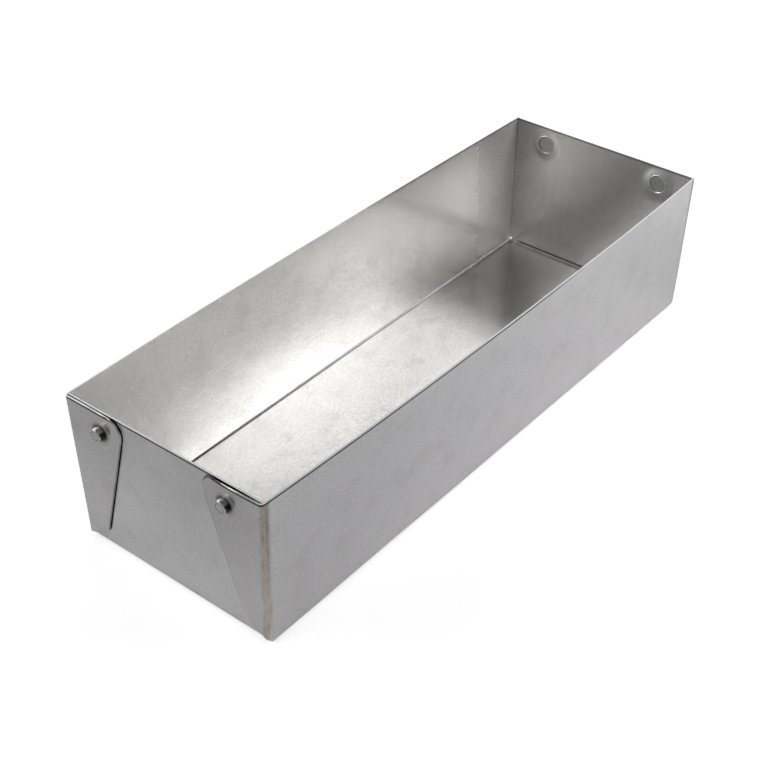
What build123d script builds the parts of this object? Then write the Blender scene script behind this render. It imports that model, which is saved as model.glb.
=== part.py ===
from build123d import *
from math import atan, cos, sin, tan
import os

# A long folded sheet-metal pan with four riveted corner flaps.
#
# The pan is one blank of thin steel sheet.  The floor runs up through bends into
# two long walls and two end panels.  Each long wall carries a tapered flap at both
# ends, which turns round the corner, lies over the outside of the end panel and is
# held there by one solid rivet near the rim.
#
# Frame: +X along the pan, +Y across it, +Z up.  The origin is the centre of the
# floor's underside, so the pan stands on z = 0.  Units are millimetres.

# Overall size, measured on the outside of the sheet
RIM_LENGTH = 300.0  # over the flaps, at the rim
RIM_WIDTH = 100.0  # over the long walls, at the rim corners
HEIGHT = 70.0
END_FLARE = 2.0  # how far each end leans out from floor to rim
SIDE_FLARE = 1.2  # how far each long wall leans out from floor to rim
RIM_BOW = 2.2  # how far the middle of a long rim springs outwards

# Sheet and bends
SHEET = 0.8
FLOOR_BEND = 0.9  # inside radius where the floor turns up
CORNER_BEND = 1.0  # inside radius where a long wall turns into a flap
FLAP_GAP = 0.6  # air between an end panel and the flap over it
PANEL_CLEARANCE = 0.3  # between an end panel's side edge and the long wall
RELIEF = 0.2  # between the floor's end bend and its side bend
OVERRUN = 8.0  # how far a tool or an uncut tube passes the surfaces that trim it

# Flap outline, as distances from the pan's centre line and heights
FLAP_TOP_Y = 18.6  # free edge, carried on up to the rim
FLAP_FOOT_Y = 36.3  # free edge, at FLAP_FOOT_Z
FLAP_FOOT_Z = 9.5
FLAP_CLIP_Y = 38.5  # end of the clipped lower corner
FLAP_CLIP_Z = 5.6
FLAP_BASE_Z = 2.0  # where the flap leaves the corner bend
FLAP_CORNER = 7.0  # radius of the flap's upper free corner
FLAP_FOOT_ROUND = 4.0  # radius of the flap's lower free corner

# Rivets
RIVET_Y = 31.75
RIVET_Z = 60.7
SHANK_RADIUS = 2.4
SET_HEAD_RADIUS = 3.0  # the head formed outside
SET_HEAD_HEIGHT = 2.6
SET_HEAD_ROUND = 0.45
SET_HEAD_LAND_RADIUS = 2.2  # flat left by the setting tool
SET_HEAD_LAND_HEIGHT = 0.15
FLAT_HEAD_RADIUS = 4.5  # the ready-made head inside
FLAT_HEAD_HEIGHT = 0.8
FLAT_HEAD_ROUND = 0.25
DIMPLE_SEAT_RADIUS = 5.0  # flat seat pressed into the end panel
DIMPLE_RADIUS = 8.5  # where the panel is flat again
DIMPLE_SLACK = 0.05  # air left between the seat and the flap

# Worked out from the above
END_LEAN = atan(END_FLARE / HEIGHT)
SIDE_LEAN = atan(SIDE_FLARE / HEIGHT)
FLAP_FOOT_X = RIM_LENGTH / 2 - END_FLARE  # flap's outer face, carried down to z = 0
WALL_FOOT_Y = RIM_WIDTH / 2 - SIDE_FLARE  # long wall's outer face, carried down to z = 0
PANEL_FOOT_X = FLAP_FOOT_X - (SHEET + FLAP_GAP) / cos(END_LEAN)
FLOOR_BEND_OUT = FLOOR_BEND + SHEET
CORNER_BEND_OUT = CORNER_BEND + SHEET
END_OUT = Vector(cos(END_LEAN), 0, -sin(END_LEAN))  # outward from the +X end
SIDE_OUT = Vector(0, cos(SIDE_LEAN), -sin(SIDE_LEAN))  # outward from the +Y wall
SIDE_UP = Vector(0, sin(SIDE_LEAN), cos(SIDE_LEAN))
DOWN = Vector(0, 0, -1)
ALONG = Vector(1, 0, 0)
ACROSS = Vector(0, 1, 0)

# Centre lines of the bends along and across the floor, at y > 0 and x > 0
SIDE_BEND_Y = WALL_FOOT_Y + FLOOR_BEND_OUT * (tan(SIDE_LEAN) - 1 / cos(SIDE_LEAN))
END_BEND_X = PANEL_FOOT_X + FLOOR_BEND_OUT * (tan(END_LEAN) - 1 / cos(END_LEAN))


def corner_axis(z):
    """The centre line of the bend between the +Y wall and the +X flap, at height z."""
    return Vector(
        FLAP_FOOT_X - CORNER_BEND_OUT / cos(END_LEAN) + z * tan(END_LEAN),
        WALL_FOOT_Y - CORNER_BEND_OUT / cos(SIDE_LEAN) + z * tan(SIDE_LEAN),
        z,
    )


def wall_end_x(z):
    """Where the +Y wall's outer face stops and its corner bend starts, at height z."""
    return corner_axis(z + CORNER_BEND_OUT * sin(SIDE_LEAN)).X


def flap_root_y(z):
    """Where the flap's outer face starts beside the corner bend, at height z."""
    return corner_axis(z + CORNER_BEND_OUT * sin(END_LEAN)).Y


def bend(centre, inner_radius, start, end, run):
    """A quarter-tube of sheet from direction start to direction end, extruded along run."""
    outer_radius = inner_radius + SHEET
    middle = (start + end).normalized()
    outline = Wire(
        [
            Line(centre + start * inner_radius, centre + start * outer_radius),
            ThreePointArc(
                centre + start * outer_radius,
                centre + middle * outer_radius,
                centre + end * outer_radius,
            ),
            Line(centre + end * outer_radius, centre + end * inner_radius),
            ThreePointArc(
                centre + end * inner_radius,
                centre + middle * inner_radius,
                centre + start * inner_radius,
            ),
        ]
    )
    return Solid.extrude(Face(outline), run)


def plate(outline, outward):
    """A flat piece of sheet whose outer face is the outline."""
    return Solid.extrude(Face(outline), outward * -SHEET)


def floor_plate():
    return Pos(0, 0, SHEET / 2) * Box(2 * END_BEND_X, 2 * SIDE_BEND_Y, SHEET)


def side_bend():
    """The floor's bend into the +Y wall."""
    reach = wall_end_x(FLOOR_BEND_OUT)
    centre = Vector(-reach, SIDE_BEND_Y, FLOOR_BEND_OUT)
    return bend(centre, FLOOR_BEND, DOWN, SIDE_OUT, ALONG * (2 * reach))


def long_wall():
    """The +Y wall: straight along its foot, sprung outwards along its rim."""
    foot = Vector(0, SIDE_BEND_Y, FLOOR_BEND_OUT) + SIDE_OUT * FLOOR_BEND_OUT
    rim = foot + SIDE_UP * ((HEIGHT - foot.Z) / cos(SIDE_LEAN))
    half_foot = ALONG * wall_end_x(foot.Z)
    half_rim = ALONG * wall_end_x(rim.Z)
    inward = SIDE_OUT * -SHEET
    bow = SIDE_OUT * RIM_BOW
    foot_outline = Wire(
        [
            Line(foot - half_foot, foot + half_foot),
            Line(foot + half_foot, foot + half_foot + inward),
            Line(foot + half_foot + inward, foot - half_foot + inward),
            Line(foot - half_foot + inward, foot - half_foot),
        ]
    )
    rim_outline = Wire(
        [
            ThreePointArc(rim - half_rim, rim + bow, rim + half_rim),
            Line(rim + half_rim, rim + half_rim + inward),
            ThreePointArc(rim + half_rim + inward, rim + bow + inward, rim - half_rim + inward),
            Line(rim - half_rim + inward, rim - half_rim),
        ]
    )
    return Solid.make_loft([foot_outline, rim_outline], ruled=True)


def end_bend():
    """The floor's bend into the +X end panel."""
    half_width = SIDE_BEND_Y - RELIEF
    centre = Vector(END_BEND_X, -half_width, FLOOR_BEND_OUT)
    return bend(centre, FLOOR_BEND, DOWN, END_OUT, ACROSS * (2 * half_width))


def on_end_plane(foot_x, y, z):
    """A point of the plane that leans with the +X end and meets z = 0 at foot_x."""
    return Vector(foot_x + z * tan(END_LEAN), y, z)


def rivet_spot(side):
    """Where a +X rivet's centre line meets the flap's outer face; side is +1 or -1."""
    return on_end_plane(FLAP_FOOT_X, side * RIVET_Y, RIVET_Z)


def rivet_plane(side):
    """A plane square to a +X rivet, with Z pointing out of the pan."""
    return Plane(origin=rivet_spot(side), x_dir=ACROSS, z_dir=END_OUT)


def end_panel():
    """The +X end panel, with a dished seat pressed out to the flap at each rivet."""
    foot_z = FLOOR_BEND_OUT - FLOOR_BEND_OUT * sin(END_LEAN)
    narrow = SIDE_BEND_Y - RELIEF
    wall_inside = WALL_FOOT_Y - SHEET / cos(SIDE_LEAN) - PANEL_CLEARANCE
    shoulder_z = foot_z + SHEET + PANEL_CLEARANCE + FLOOR_BEND
    half = [
        (narrow, foot_z),
        (narrow, foot_z + SHEET),
        (wall_inside + shoulder_z * tan(SIDE_LEAN), shoulder_z),
        (wall_inside + HEIGHT * tan(SIDE_LEAN), HEIGHT),
    ]
    corners = half + [(-y, z) for y, z in reversed(half)]
    points = [on_end_plane(PANEL_FOOT_X, y, z) for y, z in corners]
    panel = plate(Wire.make_polygon(points, close=True), END_OUT)
    for side in (1, -1):
        spot = rivet_plane(side)
        opening = spot * Cylinder(DIMPLE_RADIUS, 2 * OVERRUN)
        panel = panel - opening + spot * dimple()
    return panel


def dimple():
    """The dished ring of end panel round a rivet, in the rivet's own plane."""
    flat_face = -SHEET - FLAP_GAP  # the flat panel's outer face
    seat_face = -SHEET - DIMPLE_SLACK
    ramp = (DIMPLE_RADIUS - DIMPLE_SEAT_RADIUS) / 2
    rise = (seat_face - flat_face) / 2
    sweep = 2 * atan(rise / ramp)
    radius = ramp / sin(sweep)

    def crest(face, start_radius, direction):
        """One of the ramp's two arcs, which meet halfway down with one slope."""
        centre_z = face - direction * radius
        angle = sweep / 2
        lean = 1 if direction > 0 else -1
        middle = (start_radius + lean * radius * sin(angle), centre_z + direction * radius * cos(angle))
        finish = (start_radius + lean * ramp, face - direction * rise)
        return (start_radius, face), middle, finish

    def ramp_edges(offset):
        top_start, top_middle, top_end = crest(seat_face - offset, DIMPLE_SEAT_RADIUS, 1)
        low_start, low_middle, low_end = crest(flat_face - offset, DIMPLE_RADIUS, -1)
        return [
            Line((SHANK_RADIUS, seat_face - offset), top_start),
            ThreePointArc(top_start, top_middle, top_end),
            ThreePointArc(low_end, low_middle, low_start),
        ]

    profile = Wire(
        ramp_edges(0)
        + [Line((DIMPLE_RADIUS, flat_face), (DIMPLE_RADIUS, flat_face - SHEET))]
        + ramp_edges(SHEET)
        + [Line((SHANK_RADIUS, seat_face - SHEET), (SHANK_RADIUS, seat_face))]
    )
    return revolve(Plane.XZ * Face(profile), Axis.Z)


def corner_bend():
    """The bend between the +Y wall and the +X flap, from the relief up to the rim."""
    low = corner_axis(-OVERRUN)
    high = corner_axis(HEIGHT + OVERRUN)
    tube = bend(low, CORNER_BEND, SIDE_OUT, END_OUT, high - low)
    reach = HEIGHT - FLAP_BASE_Z
    keep = Pos(low.X, low.Y, FLAP_BASE_Z + reach / 2) * Box(HEIGHT, HEIGHT, reach)
    return tube & keep


def flap():
    """The tapered flap over the +X end panel, on the +Y side."""
    corners = [
        (flap_root_y(FLAP_BASE_Z), FLAP_BASE_Z),
        (flap_root_y(HEIGHT), HEIGHT),
        (FLAP_TOP_Y, HEIGHT),
        (FLAP_FOOT_Y, FLAP_FOOT_Z),
        (FLAP_CLIP_Y, FLAP_CLIP_Z),
    ]
    points = [on_end_plane(FLAP_FOOT_X, y, z) for y, z in corners]
    blank = plate(Wire.make_polygon(points, close=True), END_OUT)

    def thickness_edge(point):
        """The short edge of the blank that runs through the sheet at an outline point."""
        return min(blank.edges(), key=lambda e: (e.center() - point + END_OUT * SHEET / 2).length)

    blank = fillet(thickness_edge(points[2]), FLAP_CORNER)
    blank = fillet(thickness_edge(points[3]), FLAP_FOOT_ROUND)
    return blank - rivet_plane(1) * Cylinder(SHANK_RADIUS, 2 * OVERRUN)


def folded_pan():
    """The whole blank in its folded shape, as one solid."""
    side = side_bend() + long_wall()
    corner = corner_bend() + flap()
    end = end_bend() + end_panel()
    pan = floor_plate() + side + mirror(side, Plane.XZ) + end + mirror(end, Plane.YZ)
    across = mirror(corner, Plane.XZ)
    for piece in (corner, across, mirror(corner, Plane.YZ), mirror(across, Plane.YZ)):
        pan = pan + piece
    return pan


def rivet(side):
    """A set solid rivet at the +X end: flat head inside, upset head outside."""
    seat = -2 * SHEET - DIMPLE_SLACK
    shank = Pos(0, 0, seat / 2) * Cylinder(SHANK_RADIUS, -seat)
    flat_head = Pos(0, 0, seat - FLAT_HEAD_HEIGHT / 2) * Cylinder(FLAT_HEAD_RADIUS, FLAT_HEAD_HEIGHT)
    flat_head = fillet(flat_head.edges().sort_by(Axis.Z)[0], FLAT_HEAD_ROUND)
    set_head = Pos(0, 0, SET_HEAD_HEIGHT / 2) * Cylinder(SET_HEAD_RADIUS, SET_HEAD_HEIGHT)
    set_head = fillet(set_head.edges().sort_by(Axis.Z)[-1], SET_HEAD_ROUND)
    land_z = SET_HEAD_HEIGHT + SET_HEAD_LAND_HEIGHT / 2
    land = Pos(0, 0, land_z) * Cylinder(SET_HEAD_LAND_RADIUS, SET_HEAD_LAND_HEIGHT)
    return rivet_plane(side) * (shank + flat_head + set_head + land)


def write(shape, name):
    export_step(shape, f"parts/{name}.step")


os.makedirs("parts", exist_ok=True)
write(folded_pan(), "folded_pan")
for side, hand in ((1, "left"), (-1, "right")):
    far_rivet = rivet(side)
    write(far_rivet, f"rivet_far_{hand}")
    write(mirror(far_rivet, Plane.YZ), f"rivet_near_{hand}")
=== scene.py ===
import math

import bmesh
import bpy
import numpy as np
from mathutils import Matrix, Vector, noise


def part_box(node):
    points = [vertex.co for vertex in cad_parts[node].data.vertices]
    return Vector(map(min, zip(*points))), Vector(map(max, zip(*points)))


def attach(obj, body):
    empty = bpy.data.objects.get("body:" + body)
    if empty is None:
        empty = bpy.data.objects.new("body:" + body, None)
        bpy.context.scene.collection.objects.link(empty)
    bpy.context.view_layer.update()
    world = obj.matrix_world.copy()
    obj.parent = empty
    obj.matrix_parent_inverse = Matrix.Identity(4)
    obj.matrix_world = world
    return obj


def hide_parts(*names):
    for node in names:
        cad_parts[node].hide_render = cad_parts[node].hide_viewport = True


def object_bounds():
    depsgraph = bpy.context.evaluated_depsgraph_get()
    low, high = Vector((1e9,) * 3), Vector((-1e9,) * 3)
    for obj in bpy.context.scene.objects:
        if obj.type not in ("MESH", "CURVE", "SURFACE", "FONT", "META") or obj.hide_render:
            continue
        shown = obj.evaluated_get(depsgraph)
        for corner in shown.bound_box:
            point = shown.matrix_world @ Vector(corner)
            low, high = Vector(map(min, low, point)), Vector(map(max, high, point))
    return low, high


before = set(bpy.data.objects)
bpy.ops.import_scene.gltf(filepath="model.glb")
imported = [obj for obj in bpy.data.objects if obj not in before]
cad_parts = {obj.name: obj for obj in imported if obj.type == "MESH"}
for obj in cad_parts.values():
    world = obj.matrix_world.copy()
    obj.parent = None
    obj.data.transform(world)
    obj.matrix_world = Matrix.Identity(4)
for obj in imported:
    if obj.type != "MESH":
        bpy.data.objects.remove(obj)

# A folded sheet-metal pan with four riveted corner flaps, standing on a pale floor.
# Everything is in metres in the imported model's frame: +X along the pan, +Y across it, +Z up.

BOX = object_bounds()
MM = 0.001

# ---------------------------------------------------------------- sizes of the folded sheet

PAN_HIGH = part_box("folded_pan")[1]
SHEET = 0.8 * MM
END_LEAN = math.atan(2.0 / 70.0)
SIDE_LEAN = math.atan(1.2 / 70.0)
HEIGHT = PAN_HIGH.z - SHEET * math.sin(END_LEAN)
RIM_HALF_WIDTH = 50.0 * MM
FLAP_FOOT_X = PAN_HIGH.x - HEIGHT * math.tan(END_LEAN)
WALL_FOOT_Y = RIM_HALF_WIDTH - HEIGHT * math.tan(SIDE_LEAN)
FLAP_GAP = 0.6 * MM
PANEL_FOOT_X = FLAP_FOOT_X - (SHEET + FLAP_GAP) / math.cos(END_LEAN)
PANEL_CLEARANCE = 0.2 * MM
FLOOR_BEND = 1.7 * MM  # outside radius where the floor turns up
CORNER_BEND = 1.8 * MM  # outside radius where a long wall turns into a flap
RELIEF = 0.05 * MM
SIDE_BEND_Y = WALL_FOOT_Y + FLOOR_BEND * (math.tan(SIDE_LEAN) - 1 / math.cos(SIDE_LEAN))
END_BEND_X = PANEL_FOOT_X + FLOOR_BEND * (math.tan(END_LEAN) - 1 / math.cos(END_LEAN))
EDGE_ROUND = 0.15 * MM  # rounding of a cut edge
BEND_ROWS = 9  # rows of points round a bend

# How far the middle of each long rim springs out, by the side it is on
RIM_BOW = {1: 1.5 * MM, -1: 2.6 * MM}
BOW_FLATNESS = 2.4  # exponent: a higher number bows nearer the corners
BOW_RISE = 1.2  # exponent: how the bow grows from the floor to the rim
WAVER = 0.12 * MM  # hand-made unevenness of every surface
WAVER_LENGTH = 45.0 * MM
WAVER_SEED = 1
noise.seed_set(WAVER_SEED)  # without a seed, noise vectors differ from run to run

# Flap outline: distances from the centre line and heights
FLAP_TOP_Y = 18.6 * MM
FLAP_FOOT_Y = 36.3 * MM
FLAP_FOOT_Z = 9.5 * MM
FLAP_CLIP_Y = 38.5 * MM
FLAP_CLIP_Z = 5.6 * MM
FLAP_BASE_Y = 46.4 * MM
FLAP_BASE_Z = 2.0 * MM
FLAP_CORNER = 7.0 * MM

# How far each flap has sprung outwards (or, below 0, inwards): along its free edge, and in the
# middle of its rim, between the corner bend and the free corner
FLAP_SPRING = {
    (-1, 1): (-0.2 * MM, -0.12 * MM),
    (-1, -1): (-0.4 * MM, 0.35 * MM),
    (1, 1): (-0.4 * MM, -0.3 * MM),
    (1, -1): (-0.4 * MM, -0.3 * MM),
}

FAR_FLAP_SAG = 1.2 * MM  # how far the far flaps' tops drop below the rim

# The end panel is pulled out to the flap round each rivet
DIMPLE_DEPTH = {-1: FLAP_GAP - 0.05 * MM, 1: 0.3 * MM}
DIMPLE_SEAT = 4.4 * MM
DIMPLE_REACH = 9.0 * MM


# ---------------------------------------------------------------- rivets' places

def rivet_point(end, side):
    """Where a rivet's centre line meets the flap's outer face; end and side are +1 or -1."""
    name = "rivet_" + ("far_" if end > 0 else "near_") + ("left" if side > 0 else "right")
    low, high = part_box(name)
    y = (low.y + high.y) / 2
    z = (low.z + high.z) / 2
    return name, Vector((end * (FLAP_FOOT_X + z * math.tan(END_LEAN)), y, z))


RIVETS = {(end, side): rivet_point(end, side) for end in (1, -1) for side in (1, -1)}


# ---------------------------------------------------------------- the sheet as grids of points

def corner_centre(z):
    """Centre of the corner bend's arc at height z, at the +X +Y corner."""
    x = FLAP_FOOT_X + z * math.tan(END_LEAN) - CORNER_BEND
    y = WALL_FOOT_Y + z * math.tan(SIDE_LEAN) - CORNER_BEND
    return x, y


def flap_edge_y(z):
    """Distance of the flap's free edge from the centre line at height z."""
    slope = (FLAP_FOOT_Y - FLAP_TOP_Y) / (HEIGHT - FLAP_FOOT_Z)
    straight = FLAP_TOP_Y + slope * (HEIGHT - z)
    lean = math.atan(slope)
    tangent = FLAP_CORNER / math.tan((math.pi / 2 - lean) / 2)
    arc_y = FLAP_TOP_Y + tangent
    arc_z = HEIGHT - FLAP_CORNER
    if z > arc_z - FLAP_CORNER * math.sin(lean):
        drop = min(abs(z - arc_z), FLAP_CORNER)
        return arc_y - math.sqrt(FLAP_CORNER**2 - drop**2)
    if z >= FLAP_FOOT_Z:
        return straight
    if z >= FLAP_CLIP_Z:
        share = (FLAP_FOOT_Z - z) / (FLAP_FOOT_Z - FLAP_CLIP_Z)
        return FLAP_FOOT_Y + (FLAP_CLIP_Y - FLAP_FOOT_Y) * share**1.6
    share = (FLAP_CLIP_Z - z) / (FLAP_CLIP_Z - FLAP_BASE_Z)
    return FLAP_CLIP_Y + (FLAP_BASE_Y - FLAP_CLIP_Y) * share**0.8


def wall_levels():
    """Heights of the rows shared by a long wall, its corner bends and its flaps."""
    foot = FLOOR_BEND * (1 - math.sin(SIDE_LEAN))
    lower = [FLAP_BASE_Z, 2.6 * MM, 3.4 * MM, 4.4 * MM, FLAP_CLIP_Z, 6.6 * MM, 8.0 * MM, FLAP_FOOT_Z]
    turn = HEIGHT - FLAP_CORNER
    middle = np.linspace(FLAP_FOOT_Z, turn - 2.0 * MM, 22)[1:]
    arc = [turn + FLAP_CORNER * math.sin(a) for a in np.linspace(0, math.pi / 2, 11)]
    return [foot] + lower + list(middle) + arc


def bow(x, z, side, reach):
    """How far a long wall has sprung out at x and height z."""
    along = 1 - min(1.0, abs(x) / reach) ** BOW_FLATNESS
    return RIM_BOW[side] * along * max(0.0, z / HEIGHT) ** BOW_RISE


def flap_spring(across, z, end, side):
    """How far a flap stands out, across its width (0 at its bend, 1 at its free edge) and up it."""
    edge, rim = FLAP_SPRING[end, side]
    height = max(0.0, z / HEIGHT)
    free = max(0.0, (across - 0.6) / 0.4) ** 3
    return free * edge + rim * math.sin(math.pi * across) * height**6


def dimple(y, z, end):
    """How far the end panel is pulled out at a point, by the rivets of that end."""
    pulled = 0.0
    for side in (1, -1):
        spot = RIVETS[end, side][1]
        distance = math.hypot(y - spot.y, z - spot.z)
        share = (DIMPLE_REACH - distance) / (DIMPLE_REACH - DIMPLE_SEAT)
        share = min(1.0, max(0.0, share))
        pulled = max(pulled, DIMPLE_DEPTH[end] * share * share * (3 - 2 * share))
    return pulled


def waver(point):
    """The sheet's slight unevenness, the same for every surface that meets at a point."""
    return point + noise.noise_vector(point / WAVER_LENGTH) * WAVER


class Sheet:
    """Collects grids of points, with each point's place in the flat blank, into one mesh."""

    def __init__(self, name):
        self.name = name
        self.bm = bmesh.new()
        self.uv = self.bm.loops.layers.uv.new("blank")
        self.bend = self.bm.verts.layers.float.new("bend")

    def grid(self, points, blank, outward, bent=0.0):
        """Adds a grid of faces that look outward. blank holds the flat-pattern coordinates."""
        rows = len(points)
        columns = len(points[0])
        verts = [[self.bm.verts.new(waver(Vector(p))) for p in row] for row in points]
        for row in verts:
            for vert in row:
                vert[self.bend] = bent
        i, j = rows // 2, columns // 2
        a, b, c = (Vector(points[r][c]) for r, c in ((i, j), (i, j - 1), (i - 1, j)))
        flip = (b - a).cross(c - a).dot(Vector(outward)) < 0
        for i in range(rows - 1):
            for j in range(columns - 1):
                corners = [(i, j), (i, j + 1), (i + 1, j + 1), (i + 1, j)]
                if flip:
                    corners.reverse()
                face = self.bm.faces.new([verts[r][c] for r, c in corners])
                face.smooth = True
                for loop, (r, c) in zip(face.loops, corners):
                    loop[self.uv].uv = blank[r][c]

    def build(self):
        bmesh.ops.remove_doubles(self.bm, verts=self.bm.verts, dist=0.02 * MM)
        mesh = bpy.data.meshes.new(self.name)
        self.bm.to_mesh(mesh)
        self.bm.free()
        piece = bpy.data.objects.new(self.name, mesh)
        bpy.context.scene.collection.objects.link(piece)
        return piece


def lengthwise_stations():
    """Stations along the floor and long walls, ends of the floor bends included."""
    reach = corner_centre(FLOOR_BEND)[0]
    inner = np.linspace(-END_BEND_X, END_BEND_X, 97)
    return np.array([-reach, *inner, reach])


def crosswise_stations():
    """Stations across the floor and end panels, closer together near the rivets."""
    narrow = SIDE_BEND_Y - RELIEF
    half = np.concatenate([np.linspace(0, 0.4, 10), np.linspace(0.4, 0.95, 26)[1:], [1.0]]) * narrow
    return np.concatenate([[-SIDE_BEND_Y], -half[::-1], half[1:], [SIDE_BEND_Y]])


def panel_levels():
    """Heights of an end panel's rows, closer together near the rivets."""
    foot = FLOOR_BEND * (1 - math.sin(END_LEAN))
    shoulder = foot + PANEL_CLEARANCE + FLOOR_BEND
    lower = [foot, foot + SHEET, (foot + SHEET + shoulder) / 2, shoulder]
    middle = np.linspace(shoulder, 48 * MM, 19)[1:]
    upper = np.linspace(48 * MM, HEIGHT, 24)[1:]
    return lower + list(middle) + list(upper)


def panel_half_width(z):
    """Half the width of an end panel at height z: it narrows to its bend at the foot."""
    foot = FLOOR_BEND * (1 - math.sin(END_LEAN))
    narrow = SIDE_BEND_Y - RELIEF
    shoulder = foot + PANEL_CLEARANCE + FLOOR_BEND
    gap = PANEL_CLEARANCE * (0.15 + 0.85 * z / HEIGHT)
    wall_inside = WALL_FOOT_Y - SHEET / math.cos(SIDE_LEAN) - gap
    if z <= foot + SHEET:
        return narrow
    if z >= shoulder:
        return wall_inside + z * math.tan(SIDE_LEAN)
    share = (z - foot - SHEET) / (shoulder - foot - SHEET)
    return narrow + (wall_inside + shoulder * math.tan(SIDE_LEAN) - narrow) * share


def add_floor(sheet):
    xs = lengthwise_stations()[1:-1]
    ys = crosswise_stations()
    sheet.grid([[(x, y, 0) for x in xs] for y in ys], [[(x, y) for x in xs] for y in ys], (0, 0, -1))


def add_side_bend(sheet, side):
    xs = lengthwise_stations()
    points = []
    blank = []
    for angle in np.linspace(0, math.pi / 2 - SIDE_LEAN, BEND_ROWS):
        y = side * (SIDE_BEND_Y + FLOOR_BEND * math.sin(angle))
        z = FLOOR_BEND * (1 - math.cos(angle))
        points.append([(x, y, z) for x in xs])
        blank.append([(x, side * (SIDE_BEND_Y + FLOOR_BEND * angle)) for x in xs])
    sheet.grid(points, blank, (0, side, -1), bent=1.0)


def wall_blank_y(z):
    """A long wall's height z as a distance from the centre line of the flat blank."""
    return SIDE_BEND_Y + FLOOR_BEND * math.pi / 2 + (z - FLOOR_BEND) / math.cos(SIDE_LEAN)


def add_long_wall(sheet, side):
    stations = lengthwise_stations() / corner_centre(FLOOR_BEND)[0]
    points = []
    blank = []
    for z in wall_levels():
        reach = corner_centre(z)[0]
        if z < FLOOR_BEND:
            reach = corner_centre(FLOOR_BEND)[0]
        xs = stations * reach
        y = WALL_FOOT_Y + z * math.tan(SIDE_LEAN)
        points.append([(x, side * (y + bow(x, z, side, reach)), z) for x in xs])
        blank.append([(x, side * wall_blank_y(z)) for x in xs])
    sheet.grid(points, blank, (0, side, 0))


def flap_sag(z, end):
    """How far a far flap's material at height z lies below the level of the rim."""
    return FAR_FLAP_SAG * (z / HEIGHT) ** 6 if end > 0 else 0.0


def add_corner_bend(sheet, end, side):
    points = []
    blank = []
    for z in wall_levels()[1:]:
        cx, cy = corner_centre(z)
        sag = flap_sag(z, end)
        row = []
        flat = []
        for angle in np.linspace(0, math.pi / 2, BEND_ROWS):
            x = end * (cx + CORNER_BEND * math.sin(angle))
            y = side * (cy + CORNER_BEND * math.cos(angle))
            row.append((x, y, z - sag * (angle / (math.pi / 2)) ** 1.5))
            flat.append((end * (cx + CORNER_BEND * angle), side * wall_blank_y(z)))
        points.append(row)
        blank.append(flat)
    sheet.grid(points, blank, (end, side, 0), bent=1.0)


def add_flap(sheet, end, side):
    points = []
    blank = []
    for z in wall_levels()[1:]:
        cx, cy = corner_centre(z)
        shares = np.linspace(0, 1, 26)
        ys = cy + (flap_edge_y(z) - cy) * shares
        xs = [cx + CORNER_BEND + flap_spring(share, z, end, side) for share in shares]
        turned = cx + CORNER_BEND * math.pi / 2
        points.append([(end * x, side * y, z - flap_sag(z, end)) for x, y in zip(xs, ys)])
        blank.append([(end * (turned + cy - y), side * wall_blank_y(z)) for y in ys])
    sheet.grid(points, blank, (end, 0, 0))


def add_end_bend(sheet, end):
    ys = crosswise_stations()[1:-1]
    points = []
    blank = []
    for angle in np.linspace(0, math.pi / 2 - END_LEAN, BEND_ROWS):
        x = end * (END_BEND_X + FLOOR_BEND * math.sin(angle))
        z = FLOOR_BEND * (1 - math.cos(angle))
        points.append([(x, y, z) for y in ys])
        blank.append([(end * (END_BEND_X + FLOOR_BEND * angle), y) for y in ys])
    sheet.grid(points, blank, (end, 0, -1), bent=1.0)


def panel_blank_x(z):
    """An end panel's height z as a distance from the centre line of the flat blank."""
    return END_BEND_X + FLOOR_BEND * math.pi / 2 + z - FLOOR_BEND


def add_end_panel(sheet, end):
    stations = crosswise_stations()[1:-1]
    stations = stations / stations[-1]
    points = []
    blank = []
    for z in panel_levels():
        ys = stations * panel_half_width(z)
        x = PANEL_FOOT_X + z * math.tan(END_LEAN)
        points.append([(end * (x + dimple(y, z, end)), y, z) for y in ys])
        blank.append([(end * panel_blank_x(z), y) for y in ys])
    sheet.grid(points, blank, (end, 0, 0))


def make_sheet():
    sheet = Sheet("pan_sheet")
    add_floor(sheet)
    for side in (1, -1):
        add_side_bend(sheet, side)
        add_long_wall(sheet, side)
    for end in (1, -1):
        add_end_bend(sheet, end)
        add_end_panel(sheet, end)
        for side in (1, -1):
            add_corner_bend(sheet, end, side)
            add_flap(sheet, end, side)
    piece = sheet.build()
    thicken = piece.modifiers.new("thickness", "SOLIDIFY")
    thicken.thickness = SHEET
    thicken.offset = -1
    thicken.use_even_offset = True
    thicken.use_quality_normals = True
    thicken.material_offset = 2  # the inside's material
    thicken.material_offset_rim = 1
    soften = piece.modifiers.new("cut_edges", "BEVEL")
    soften.width = EDGE_ROUND
    soften.segments = 2
    soften.limit_method = "ANGLE"
    soften.angle_limit = math.radians(50)
    soften.harden_normals = True
    return piece


# ---------------------------------------------------------------- rivets

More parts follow.
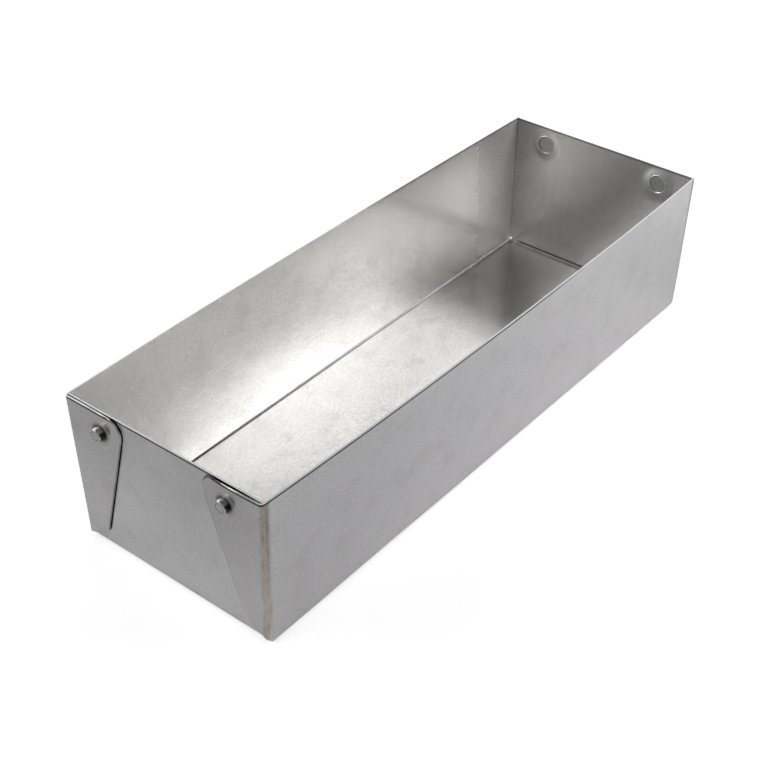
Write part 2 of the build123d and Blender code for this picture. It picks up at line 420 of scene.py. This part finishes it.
# Half profiles of the heads, in mm: radius, height above the sheet, how oval the ring is, and its
# shading: 1 rubbed bright with a painted highlight, -1 painted shade
SET_HEAD = [
    (2.90, -0.10, 0, -1), (2.96, 0.10, 0, -1), (3.00, 0.5, 0, -1), (3.00, 1.5, 0, -1),
    (2.98, 2.20, 0, -0.8), (2.93, 2.42, 0, 0), (2.80, 2.57, 0, 0.3), (2.62, 2.64, 0, 0),
    (2.35, 2.66, 0, 0), (2.15, 2.66, 0.05, 0), (1.98, 2.64, 0.08, -0.6), (1.84, 2.58, 0.1, -0.6),
    (1.68, 2.57, 0.1, 0), (0.9, 2.60, 0.1, 0), (0.0, 2.61, 0, 0),
]
FLAT_HEAD = [
    (4.62, -0.15, 0, 0), (4.62, 0.10, 0, 0.4), (4.56, 0.30, 0, 1), (4.40, 0.42, 0, 1),
    (4.22, 0.38, 0, 0.3), (4.08, 0.20, 0, -0.6), (3.90, 0.08, 0, -0.6), (3.6, 0.06, 0, -0.1),
    (1.3, 0.08, 0, -0.1), (0.0, 0.09, 0, -0.1),
]
RIVET_SIDES = 72
OUT_OF_ROUND = 0.03  # how far a ring's radius wanders, as a share of it
UNEVEN = 0.06 * MM  # how far a ring's height wanders


def revolve_profile(profile, frame_axes, seed):
    """A head turned from its half profile, a little out of round: points, faces and each point's value of
    rubbing and painted shade.
    """
    origin, across, up, out = frame_axes
    verts = []
    wear_and_shade = []
    for radius, height, oval, ring_wear_and_shade in profile[:-1]:
        for k in range(RIVET_SIDES):
            angle = 2 * math.pi * k / RIVET_SIDES
            spot = Vector((math.cos(angle), math.sin(angle), seed))
            swell = 1 + OUT_OF_ROUND * noise.noise(spot) - oval * math.cos(angle + seed) ** 2
            r = radius * swell * MM
            h = height * MM + UNEVEN * noise.noise(spot * 0.7)
            verts.append(origin + across * (r * math.cos(angle)) + up * (r * math.sin(angle)) + out * h)
            wear_and_shade.append(ring_wear_and_shade)
    verts.append(origin + out * (profile[-1][1] * MM))
    wear_and_shade.append(profile[-1][3])
    faces = []
    for ring in range(len(profile) - 2):
        for k in range(RIVET_SIDES):
            a = ring * RIVET_SIDES + k
            b = ring * RIVET_SIDES + (k + 1) % RIVET_SIDES
            faces.append((a, b, b + RIVET_SIDES, a + RIVET_SIDES))
    last = (len(profile) - 2) * RIVET_SIDES
    for k in range(RIVET_SIDES):
        faces.append((last + k, last + (k + 1) % RIVET_SIDES, len(verts) - 1))
    faces.append(tuple(reversed(range(RIVET_SIDES))))
    return verts, faces, wear_and_shade


def make_rivet(end, side):
    """The two visible heads of one rivet, each a closed mesh; the shank is hidden in the sheet."""
    name, spot = RIVETS[end, side]
    out = Vector((end * math.cos(END_LEAN), 0, -math.sin(END_LEAN)))
    up = Vector((end * math.sin(END_LEAN), 0, math.cos(END_LEAN)))
    across = up.cross(out)
    inner = spot - out * (2 * SHEET + FLAP_GAP - DIMPLE_DEPTH[end])
    seed = 3.0 * end + 1.3 * side
    verts, faces, wear_and_shade = revolve_profile(SET_HEAD, (spot, across, up, out), seed)
    more_verts, more_faces, more_wear_and_shade = revolve_profile(FLAT_HEAD, (inner, -across, up, -out), seed + 7)
    faces += [tuple(i + len(verts) for i in face) for face in more_faces]
    verts += more_verts
    mesh = bpy.data.meshes.new(name + "_heads")
    mesh.from_pydata(verts, [], faces)
    mesh.attributes.new("wear_and_shade", "FLOAT", "POINT").data.foreach_set("value", wear_and_shade + more_wear_and_shade)
    bm = bmesh.new()
    bm.from_mesh(mesh)
    bmesh.ops.recalc_face_normals(bm, faces=bm.faces)
    bm.to_mesh(mesh)
    bm.free()
    mesh.shade_smooth()
    piece = bpy.data.objects.new(name + "_heads", mesh)
    bpy.context.scene.collection.objects.link(piece)
    return piece


# ---------------------------------------------------------------- materials

class Nodes:
    """A short way to write a node tree: each call adds a node and returns its output."""

    def __init__(self, name):
        self.material = bpy.data.materials.new(name)
        self.material.use_nodes = True
        self.tree = self.material.node_tree
        self.tree.nodes.clear()

    def add(self, kind, **settings):
        node = self.tree.nodes.new(kind)
        for key, value in settings.items():
            setattr(node, key, value)
        return node

    def put(self, socket, value):
        """Links an output to an input, or sets the input's plain value."""
        if isinstance(value, bpy.types.NodeSocket):
            self.tree.links.new(value, socket)
        else:
            socket.default_value = value

    def math(self, operation, a, b=0.0):
        node = self.add("ShaderNodeMath", operation=operation)
        self.put(node.inputs[0], a)
        self.put(node.inputs[1], b)
        return node.outputs[0]

    def blank(self):
        """Coordinates in the flat blank, in millimetres."""
        node = self.add("ShaderNodeUVMap", uv_map="blank")
        return self.scaled(node.outputs[0], (1 / MM, 1 / MM, 1 / MM))

    def object_mm(self):
        """Coordinates in the pan's own frame, in millimetres."""
        node = self.add("ShaderNodeTexCoord")
        return self.scaled(node.outputs["Object"], (1 / MM, 1 / MM, 1 / MM))

    def scaled(self, vector, scale, turn=0.0):
        node = self.add("ShaderNodeMapping")
        self.put(node.inputs["Vector"], vector)
        node.inputs["Scale"].default_value = scale
        node.inputs["Rotation"].default_value = (0, 0, turn)
        return node.outputs[0]

    def axis(self, vector, name):
        """One coordinate of a vector, by its letter."""
        node = self.add("ShaderNodeSeparateXYZ")
        self.put(node.inputs[0], vector)
        return node.outputs[name]

    def distance(self, vector, point):
        node = self.add("ShaderNodeVectorMath", operation="DISTANCE")
        self.put(node.inputs[0], vector)
        node.inputs[1].default_value = point
        return node.outputs["Value"]

    def noise(self, vector, scale, detail=2.0, roughness=0.5):
        node = self.add("ShaderNodeTexNoise")
        self.put(node.inputs["Vector"], vector)
        node.inputs["Scale"].default_value = scale
        node.inputs["Detail"].default_value = detail
        node.inputs["Roughness"].default_value = roughness
        return node.outputs[0]

    def specks(self, vector, cell, radius, share):
        """Small round specks, one in each cell of the given size, kept in a share of the cells."""
        node = self.add("ShaderNodeTexVoronoi")
        self.put(node.inputs["Vector"], vector)
        node.inputs["Scale"].default_value = 1 / cell
        dots = self.ramp(node.outputs["Distance"], 0.5 * radius / cell, radius / cell, 1.0, 0.0)
        keep = self.math("LESS_THAN", self.axis(node.outputs["Color"], "X"), share)
        return self.math("MULTIPLY", dots, keep)

    def ramp(self, value, low, high, out_low=0.0, out_high=1.0):
        node = self.add("ShaderNodeMapRange", interpolation_type="SMOOTHSTEP")
        self.put(node.inputs["Value"], value)
        node.inputs["From Min"].default_value = low
        node.inputs["From Max"].default_value = high
        node.inputs["To Min"].default_value = out_low
        node.inputs["To Max"].default_value = out_high
        return node.outputs[0]

    def band(self, value, rise, full, fall, end):
        """Grows from 0 at rise to 1 at full, and falls again from fall to 0 at end."""
        return self.math("MULTIPLY", self.ramp(value, rise, full), self.ramp(value, fall, end, 1.0, 0.0))

    def mix(self, share, a, b, how="MIX"):
        node = self.add("ShaderNodeMix", data_type="RGBA", blend_type=how)
        self.put(node.inputs[0], share)
        self.put(node.inputs[6], a)
        self.put(node.inputs[7], b)
        return node.outputs[2]

    def tint(self, share, color, factor):
        """Multiplies a colour by a factor where share is 1."""
        return self.mix(share, color, factor, how="MULTIPLY")

    def crevice_shade(self, reach):
        """Painted shade mask from ambient occlusion: 1 in the bottom of a narrow gap, 0 in an open corner
        and on open metal.
        """
        node = self.add("ShaderNodeAmbientOcclusion", samples=6)
        node.inputs["Distance"].default_value = reach
        return self.ramp(node.outputs["AO"], 0.05, 0.35, 1.0, 0.0)

    def metal(self, color, roughness, height, bump=0.1, distance=0.05 * MM):
        """The finished metal surface."""
        bumped = self.add("ShaderNodeBump")
        bumped.inputs["Strength"].default_value = bump
        bumped.inputs["Distance"].default_value = distance
        self.put(bumped.inputs["Height"], height)
        shader = self.add("ShaderNodeBsdfPrincipled")
        shader.inputs["Metallic"].default_value = 1.0
        self.put(shader.inputs["Base Color"], color)
        self.put(shader.inputs["Roughness"], roughness)
        self.put(shader.inputs["Normal"], bumped.outputs[0])
        output = self.add("ShaderNodeOutputMaterial")
        self.tree.links.new(shader.outputs[0], output.inputs["Surface"])
        return self.material


def grey(level, warm=0.0):
    """A grey, tilted towards brown by warm."""
    return (level * (1 + warm), level, level * (1 - warm), 1.0)


def circle_centre(a, b, c):
    """Centre of the circle through three points in space."""
    u = b - a
    v = c - a
    normal = u.cross(v)
    swing = normal.cross(u) * v.length_squared + v.cross(normal) * u.length_squared
    return a + swing / (2 * normal.length_squared)


def scratch(n, place, start, middle, end, width):
    """A thin curved scratch through three points of one face, in mm, that fades at its ends."""
    start, middle, end = Vector(start), Vector(middle), Vector(end)
    centre = circle_centre(start, middle, end)
    radius = (start - centre).length
    off = n.math("ABSOLUTE", n.math("SUBTRACT", n.distance(place, centre), radius))
    reach = max((start - middle).length, (end - middle).length)
    line = n.ramp(off, 0.3 * width, width, 1.0, 0.0)
    ends = n.ramp(n.distance(place, middle), 0.6 * reach, reach, 1.0, 0.0)
    return n.math("MULTIPLY", line, ends)


SHEET_BUMP = 0.022  # strength of the faces' grain
OUTSIDE_STEEL = (0.815, 0.803, 0.815, 1.0)
INSIDE_STEEL = (0.75, 0.747, 0.738, 1.0)

# Thin bright scratches inside: three points of each, in mm, and its width
INSIDE_SCRATCHES = [
    ((-121, 48.9, 51.5), (-118, 48.8, 43.7), (-113, 48.6, 32), 0.35),
    ((-119, 49.0, 56.5), (-114, 48.9, 50.5), (-109, 48.8, 42), 0.3),
    ((-24.6, 38, 0.8), (-25, 21, 0.8), (-28.8, 4.6, 0.8), 0.35),
    ((147.6, 14.7, 66.6), (147.7, 9.2, 68.4), (147.7, 0.7, 68.1), 0.4),
]
# Small nicks and rubbed spots: centre in mm, radius, and the factor on the metal's colour
INSIDE_SPOTS = [
    ((-49, 47.9, 3.3), 0.8, grey(0.6)),
    ((-29, 47.9, 6.5), 0.7, grey(0.75)),
    ((9.3, 48.0, 8.7), 0.8, grey(0.85, 0.1)),
]
OUTSIDE_SPOTS = [
    ((-149.3, -28.0, 49.0), 0.55, grey(0.6)),
    ((-149.3, -28.3, 46.2), 0.45, grey(0.7)),
    ((-149.2, -27.9, 44.0), 0.35, grey(0.7)),
    ((-148.1, -26.0, 3.6), 0.7, grey(1.25)),
]


def sheet_surface(n, tint, scratches, spots):
    """Satin zinc-coated steel: faint clouds, smudges, rolling lines, specks and handling marks, with painted
    shade in narrow gaps.

    Returns the colour, roughness and height of the surface before the marks of one side."""
    blank = n.blank()
    place = n.object_mm()
    clouds = n.noise(blank, 0.045, detail=3.0, roughness=0.55)
    smudges = n.noise(blank, 0.08, detail=2.0, roughness=0.5)
    mottle = n.noise(blank, 0.8, detail=3.0, roughness=0.7)
    rolling = n.noise(n.scaled(blank, (0.02, 0.8, 1.0)), 1.0, detail=2.0)
    color = n.mix(n.ramp(clouds, 0.3, 0.7), tint, tuple(c * 1.03 for c in tint[:3]) + (1.0,))
    color = n.tint(n.ramp(smudges, 0.45, 0.8), color, grey(0.92, 0.004))
    color = n.tint(n.ramp(mottle, 0.3, 0.7), color, grey(0.84))
    color = n.tint(n.specks(blank, 9.0, 0.35, 0.35), color, grey(0.8))
    rough = n.math("ADD", n.ramp(clouds, 0.3, 0.7, 0.215, 0.235), n.ramp(smudges, 0.5, 0.8, 0.0, 0.015))
    rough = n.math("ADD", rough, n.ramp(rolling, 0.3, 0.7, -0.008, 0.008))
    for start, middle, end, width in scratches:
        mask = scratch(n, place, start, middle, end, width)
        color = n.tint(mask, color, grey(1.12))
    for centre, radius, factor in spots:
        mask = n.ramp(n.distance(place, centre), 0.5 * radius, radius, 1.0, 0.0)
        color = n.tint(mask, color, factor)
    # Painted shade: the colour is darkened in narrow gaps and cracks, where shade falls.
    color = n.tint(n.crevice_shade(2.2 * MM), color, grey(0.06, 0.04))
    bend = n.add("ShaderNodeAttribute", attribute_name="bend").outputs["Fac"]
    rough = n.math("ADD", rough, n.math("MULTIPLY", bend, 0.04))
    height = n.math("ADD", n.math("MULTIPLY", mottle, 0.7), n.math("MULTIPLY", rolling, 0.3))
    return color, rough, height


def corner_stain_and_shade(n, color):
    """Brown handling stain down the corner bends of the -Y side, strongest at the -X end; its darkening is
    partly painted shade that dims the bends' highlight.
    """
    blank = n.blank()
    along = n.axis(blank, "X")
    wander = n.ramp(n.noise(n.scaled(blank, (0.0, 0.05, 1.0)), 1.0, detail=3.0), 0.3, 0.7, -0.8, 0.8)
    middle = (corner_centre(HEIGHT / 2)[0] + CORNER_BEND * math.pi / 4) / MM
    off = n.math("SUBTRACT", n.math("ABSOLUTE", along), middle)
    off = n.math("ABSOLUTE", n.math("ADD", off, wander))
    patches = n.ramp(n.noise(n.scaled(blank, (0.5, 0.15, 1.0)), 1.0, detail=4.0), 0.35, 0.65)
    corner = n.math("LESS_THAN", n.axis(blank, "Y"), -(SIDE_BEND_Y + FLOOR_BEND) / MM)
    strength = n.math("MULTIPLY", corner, n.ramp(along, -20.0, 20.0, 1.0, 0.35))
    film = n.math("MULTIPLY", n.ramp(off, 0.4, 3.2, 1.0, 0.0), strength)
    rim = n.ramp(n.math("ABSOLUTE", n.math("SUBTRACT", off, 0.9)), 0.1, 1.2, 1.0, 0.0)
    rim = n.math("MULTIPLY", n.math("MULTIPLY", rim, strength), patches)
    # Brown stain tint, its darkening partly painted shade over the bend.
    color = n.tint(film, color, (0.8, 0.75, 0.69, 1.0))
    return n.tint(rim, color, (0.78, 0.73, 0.66, 1.0))


def flap_edge_shade(n, color):
    """Painted shade: dark lines on the end panels beside the flaps' free edges, wider on the -Y side."""
    place = n.object_mm()
    y = n.math("ABSOLUTE", n.axis(place, "Y"))
    z = n.axis(place, "Z")
    slope = (FLAP_FOOT_Y - FLAP_TOP_Y) / (HEIGHT - FLAP_FOOT_Z)
    lean = math.atan(slope)
    edge = n.math("SUBTRACT", (FLAP_TOP_Y + slope * HEIGHT) / MM, n.math("MULTIPLY", z, slope))
    straight = n.math("MULTIPLY", n.math("SUBTRACT", y, edge), math.cos(lean))
    arc_y = (FLAP_TOP_Y + FLAP_CORNER / math.tan((math.pi / 2 - lean) / 2)) / MM
    arc_z = (HEIGHT - FLAP_CORNER) / MM
    round_y = n.math("SUBTRACT", y, arc_y)
    round_z = n.math("SUBTRACT", z, arc_z)
    spread = n.math("ADD", n.math("MULTIPLY", round_y, round_y), n.math("MULTIPLY", round_z, round_z))
    rounded = n.math("SUBTRACT", FLAP_CORNER / MM, n.math("SQRT", spread))
    in_arc = n.math("GREATER_THAN", z, arc_z - FLAP_CORNER / MM * math.sin(lean))
    share = n.math("MULTIPLY", in_arc, n.math("LESS_THAN", y, arc_y))
    off = n.math("ADD", straight, n.math("MULTIPLY", share, n.math("SUBTRACT", rounded, straight)))
    reach = n.ramp(n.axis(place, "Y"), -1.0, 1.0, 1.7, 0.7)
    reach = n.math("SUBTRACT", reach, n.ramp(z, arc_z - 6.0, arc_z, 0.0, 0.75))
    line = n.math("MULTIPLY", n.ramp(n.math("ADD", off, reach), 0.0, 0.3), n.ramp(off, 0.0, 0.2, 1.0, 0.0))
    above = n.ramp(z, FLAP_FOOT_Z / MM - 2.0, FLAP_FOOT_Z / MM)
    on_end = n.ramp(n.math("ABSOLUTE", n.axis(place, "X")), END_BEND_X / MM, PANEL_FOOT_X / MM)
    line = n.math("MULTIPLY", n.math("MULTIPLY", line, above), on_end)
    # Painted shade: the panel is darkened beside each flap's free edge.
    return n.tint(line, color, grey(0.3, 0.01))


def rivet_shade_rings(n, color, rough):
    """The flaps round the set heads: painted shade, dark close to the head, and dull from the setting tool.
    """
    place = n.object_mm()
    for _, spot in RIVETS.values():
        far = n.distance(place, spot / MM)
        # Painted shade round the base of each head.
        color = n.tint(n.ramp(far, 3.1, 4.6, 1.0, 0.0), color, grey(0.35, 0.03))
        rough = n.math("ADD", rough, n.ramp(far, 4.5, 6.5, 0.35, 0.0))
    return color, rough


def bottom_painted_shade(n, color):
    """Painted shade: a dark line along the foot of the outside, where the pan stands."""
    low = n.ramp(n.axis(n.object_mm(), "Z"), 0.9, 1.7, 1.0, 0.0)
    return n.tint(low, color, grey(0.25, 0.02))


def end_painted_shade(n, color):
    """Painted shade: darker in patches over the upper part of the end faces, and a little darker over the
    flaps.
    """
    blank = n.blank()
    turned = n.math("ABSOLUTE", n.axis(blank, "X"))
    height = n.axis(n.object_mm(), "Z")
    patches = n.ramp(n.noise(blank, 0.06, detail=2.0), 0.3, 0.7, 0.75, 1.0)
    on_end = n.ramp(turned, END_BEND_X / MM, END_BEND_X / MM + 3.0)
    upper = n.math("MULTIPLY", n.math("MULTIPLY", on_end, patches), n.ramp(height, 22.0, 66.0))
    # Painted shade over the upper end faces.
    color = n.tint(upper, color, grey(0.76, 0.004))
    flap_foot = wall_blank_y(FLAP_BASE_Z) / MM
    on_flap = n.ramp(n.math("ABSOLUTE", n.axis(blank, "Y")), flap_foot - 1.0, flap_foot)
    # Painted shade over the flaps.
    return n.tint(n.math("MULTIPLY", on_end, on_flap), color, grey(0.88, 0.004))


def rim_shade_line(n, color, start, stop, factor):
    """A thin dark line of painted shade beside the cut rims, from full strength to none between two
    stations.
    """
    blank = n.blank()
    wall = n.math("SUBTRACT", n.math("ABSOLUTE", n.axis(blank, "Y")), wall_blank_y(HEIGHT) / MM)
    panel = n.math("SUBTRACT", n.math("ABSOLUTE", n.axis(blank, "X")), panel_blank_x(HEIGHT) / MM)
    off = n.math("MAXIMUM", wall, panel)
    line = n.math("MULTIPLY", n.ramp(off, -0.95, -0.8), n.ramp(n.axis(blank, "X"), start, stop, 1.0, 0.0))
    # Painted shade beside the rims.
    return n.tint(line, color, factor)


def far_light_and_shade(n, color, rough):
    """Inside, painted shade darkens the far panel towards its +Y side, and painted light brightens the far
    part of the +Y wall, which is also rougher towards the far end.
    """
    blank = n.blank()
    x = n.axis(blank, "X")
    y = n.axis(blank, "Y")
    on_panel = n.ramp(x, END_BEND_X / MM + 2.0, END_BEND_X / MM + 14.0)
    dull = n.math("MULTIPLY", on_panel, n.ramp(y, 16.0, SIDE_BEND_Y / MM))
    # Painted shade on the far panel's +Y side.
    color = n.tint(dull, color, grey(0.6, 0.004))
    on_wall = n.ramp(y, SIDE_BEND_Y / MM + 2.0, SIDE_BEND_Y / MM + 6.0)
    painted_wall_light = n.math("MULTIPLY", on_wall, n.ramp(x, 60.0, 125.0))
    satin = n.math("MULTIPLY", on_wall, n.ramp(x, 105.0, 145.0, 0.0, 0.3))
    # Painted light on the far part of the +Y wall.
    return n.tint(painted_wall_light, color, grey(1.25)), n.math("ADD", rough, satin)


def crease_shade_and_light(n, color, rough):
    """Painted shade in the creases inside: soft on the wall's side along the long walls, sharp along the
    ends.

    The floor's side of each end crease is painted lighter and made rougher."""
    blank = n.blank()
    x = n.math("ABSOLUTE", n.axis(blank, "X"))
    y = n.math("ABSOLUTE", n.axis(blank, "Y"))
    turn = FLOOR_BEND * math.pi / 2 / MM
    up_wall = n.math("SUBTRACT", y, SIDE_BEND_Y / MM)
    fade = n.ramp(n.axis(blank, "X"), -150.0, 90.0, 1.0, 0.0)
    soft = n.band(up_wall, 0.1 * turn, 0.25 * turn, 0.4 * turn, 1.2 * turn)
    # Painted shade along the long creases, fading towards +X.
    color = n.tint(n.math("MULTIPLY", soft, fade), color, grey(0.25, 0.02))
    core = n.band(up_wall, 0.05 * turn, 0.15 * turn, 0.5 * turn, 0.8 * turn)
    color = n.tint(n.math("MULTIPLY", core, fade), color, grey(0.06, 0.02))
    up_end = n.math("SUBTRACT", x, END_BEND_X / MM)
    line = n.band(up_end, 0.6 * turn, 0.75 * turn, turn, 1.25 * turn)
    within = n.ramp(y, SIDE_BEND_Y / MM - 6.0, SIDE_BEND_Y / MM - 2.0, 1.0, 0.0)
    # Painted shade along the end creases.
    color = n.tint(n.math("MULTIPLY", line, within), color, grey(0.12, 0.02))
    painted_light_strip = n.band(up_end, -2.2, -1.2, 0.5 * turn, 0.65 * turn)
    painted_light_strip = n.math("MULTIPLY", painted_light_strip, within)
    # Painted highlight on the floor's side of the end creases.
    color = n.tint(painted_light_strip, color, grey(1.25))
    return color, n.math("ADD", rough, n.math("MULTIPLY", painted_light_strip, 0.3))


def outside_material():
    n = Nodes("satin_sheet_outside")
    color, rough, height = sheet_surface(n, OUTSIDE_STEEL, [], OUTSIDE_SPOTS)
    color, rough = rivet_shade_rings(n, flap_edge_shade(n, end_painted_shade(n, color)), rough)
    color = rim_shade_line(n, corner_stain_and_shade(n, bottom_painted_shade(n, color)), 20.0, 60.0, grey(0.12, 0.02))
    return n.metal(color, rough, height, bump=SHEET_BUMP)


def inside_material():
    n = Nodes("satin_sheet_inside")
    color, rough, height = sheet_surface(n, INSIDE_STEEL, INSIDE_SCRATCHES, INSIDE_SPOTS)
    color, rough = far_light_and_shade(n, color, rough)
    color, rough = crease_shade_and_light(n, color, rough)
    color = rim_shade_line(n, color, 60.0, 20.0, grey(0.45, 0.02))
    return n.metal(color, rough, height, bump=SHEET_BUMP)


def cut_edge_material():
    """Bare sheared steel, brighter than the coated faces, with fine shear lines."""
    n = Nodes("sheared_edge")
    place = n.object_mm()
    lines = n.noise(n.scaled(place, (3.0, 3.0, 3.0)), 1.0, detail=3.0, roughness=0.7)
    color = n.mix(n.ramp(lines, 0.3, 0.7), grey(0.78), grey(0.92))
    rough = n.ramp(lines, 0.3, 0.7, 0.35, 0.5)
    return n.metal(color, rough, lines, bump=0.1)


def rivet_material():
    """Plain rivet steel, dulled, with painted shade on its sides below the top, in its grooves and in narrow
    gaps, and a bright rim, partly rubbed bright and partly a painted highlight.
    """
    n = Nodes("rivet_steel")
    place = n.object_mm()
    pits = n.noise(place, 1.2, detail=4.0, roughness=0.6)
    wear_and_shade = n.add("ShaderNodeAttribute", attribute_name="wear_and_shade").outputs["Fac"]
    color = n.mix(n.ramp(pits, 0.3, 0.7), (0.45, 0.455, 0.435, 1.0), (0.55, 0.555, 0.53, 1.0))
    # Bright rims: partly rubbed metal, partly a painted highlight.
    color = n.mix(n.ramp(wear_and_shade, 0.0, 1.0), color, grey(0.95))
    topped = n.ramp(n.axis(n.add("ShaderNodeTexCoord").outputs["Normal"], "Z"), 0.45, 0.75)
    # Painted shade on the heads' sides and grooves, except where they face up.
    side_shade = n.math("MULTIPLY", n.ramp(wear_and_shade, -1.0, 0.0, 1.0, 0.0), n.math("SUBTRACT", 1.0, topped))
    color = n.tint(side_shade, color, grey(0.12, 0.04))
    # Painted shade: the colour is darkened in the narrow gaps round the heads.
    color = n.tint(n.crevice_shade(3.5 * MM), color, grey(0.15, 0.04))
    rough = n.math("ADD", n.ramp(pits, 0.3, 0.7, 0.3, 0.38), n.ramp(wear_and_shade, 0.2, 1.0, 0.0, 0.2))
    return n.metal(color, rough, pits, bump=0.05)


# ---------------------------------------------------------------- the studio

CAMERA_AZIMUTH = math.radians(-51.47)
CAMERA_ELEVATION = math.radians(36.38)
CAMERA_ROLL = math.radians(0.45)
CAMERA_DISTANCE = 663.6 * MM
CAMERA_ASIDE = -14.3 * MM
CAMERA_ABOVE = 11.7 * MM
CAMERA_LENS = 70.14  # mm
SENSOR_WIDTH = 36.0  # mm


def make_camera():
    a, e, r = CAMERA_AZIMUTH, CAMERA_ELEVATION, CAMERA_ROLL
    back = Vector((math.sin(a) * math.cos(e), -math.cos(a) * math.cos(e), math.sin(e)))
    right = Vector((0, 0, 1)).cross(back).normalized()
    up = back.cross(right)
    level_right = right * math.cos(r) + up * math.sin(r)
    level_up = up * math.cos(r) - right * math.sin(r)
    axes = Matrix((level_right, level_up, back)).transposed()
    data = bpy.data.cameras.new("camera")
    data.lens = CAMERA_LENS
    data.sensor_width = SENSOR_WIDTH
    data.clip_start = 0.01
    camera = bpy.data.objects.new("camera", data)
    place = axes @ Vector((CAMERA_ASIDE, CAMERA_ABOVE, CAMERA_DISTANCE))
    camera.matrix_world = Matrix.Translation(place) @ axes.to_4x4()
    bpy.context.scene.collection.objects.link(camera)
    bpy.context.scene.camera = camera


FLOOR_HALF_SIDE = 3.0
FLOOR_GLOW = 0.55  # makes the floor near white to look at, without lighting the metal


def make_floor():
    mesh = bpy.data.meshes.new("floor")
    half = FLOOR_HALF_SIDE
    drop = BOX[0].z - WAVER
    corners = [(-half, -half, drop), (half, -half, drop), (half, half, drop), (-half, half, drop)]
    mesh.from_pydata(corners, [], [(0, 1, 2, 3)])
    floor = bpy.data.objects.new("floor", mesh)
    bpy.context.scene.collection.objects.link(floor)
    n = Nodes("pale_floor")
    shader = n.add("ShaderNodeBsdfPrincipled")
    shader.inputs["Base Color"].default_value = grey(0.85)
    shader.inputs["Roughness"].default_value = 0.8
    shader.inputs["Specular IOR Level"].default_value = 0.1
    shader.inputs["Emission Color"].default_value = grey(1.0)
    seen = n.add("ShaderNodeLightPath").outputs["Is Camera Ray"]
    n.put(shader.inputs["Emission Strength"], n.math("MULTIPLY", seen, FLOOR_GLOW))
    output = n.add("ShaderNodeOutputMaterial")
    n.put(output.inputs["Surface"], shader.outputs[0])
    mesh.materials.append(n.material)


# Soft boxes: azimuth from +X towards +Y and elevation in degrees, distance, width and height in
# metres, and watts
SOFTBOXES = {
    "right": (-65, 30, 0.55, 0.15, 0.15, 0.9),
    "right_behind": (-50, 30, 0.55, 0.18, 0.18, 0.3),
    "right_near": (-88, 30, 0.9, 0.8, 0.6, 0.25),
    "right_high": (280, 55, 1.5, 1.2, 0.6, 1.7),
    "back_right_high": (-38, 37, 1.5, 0.45, 0.6, 1.95),
    "back_left": (45, 32, 1.5, 1.4, 0.6, 5.0),
    "left": (120, 32, 1.5, 0.75, 0.6, 9.3),
    "front_left": (150, 32, 1.5, 0.75, 0.6, 3.4),
    "front": (200, 40, 1.5, 0.6, 0.5, 0.8),
    "front_right": (238, 43, 1.5, 0.75, 0.9, 0.5),
}


def make_lights():
    for name, (azimuth, elevation, distance, width, height, power) in SOFTBOXES.items():
        a = math.radians(azimuth)
        e = math.radians(elevation)
        away = Vector((math.cos(a) * math.cos(e), math.sin(a) * math.cos(e), math.sin(e)))
        data = bpy.data.lights.new(name, "AREA")
        data.shape = "RECTANGLE"
        data.size = width
        data.size_y = height
        data.energy = power
        light = bpy.data.objects.new(name, data)
        light.location = away * distance
        light.rotation_mode = "QUATERNION"
        light.rotation_quaternion = away.to_track_quat("Z", "Y")
        light.visible_camera = False
        bpy.context.scene.collection.objects.link(light)
    world = bpy.data.worlds.new("room")
    world.use_nodes = True
    world.node_tree.nodes["Background"].inputs["Strength"].default_value = 0.0
    bpy.context.scene.world = world
    bpy.context.scene.view_settings.view_transform = "Standard"


# ---------------------------------------------------------------- put it together

pan = make_sheet()
pan.data.materials.append(outside_material())
pan.data.materials.append(cut_edge_material())
pan.data.materials.append(inside_material())
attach(pan, "root")
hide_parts("folded_pan")

steel = rivet_material()
for place, (node, spot) in RIVETS.items():
    heads = make_rivet(*place)
    heads.data.materials.append(steel)
    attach(heads, "root")
    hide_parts(node)

make_floor()
make_lights()
make_camera()
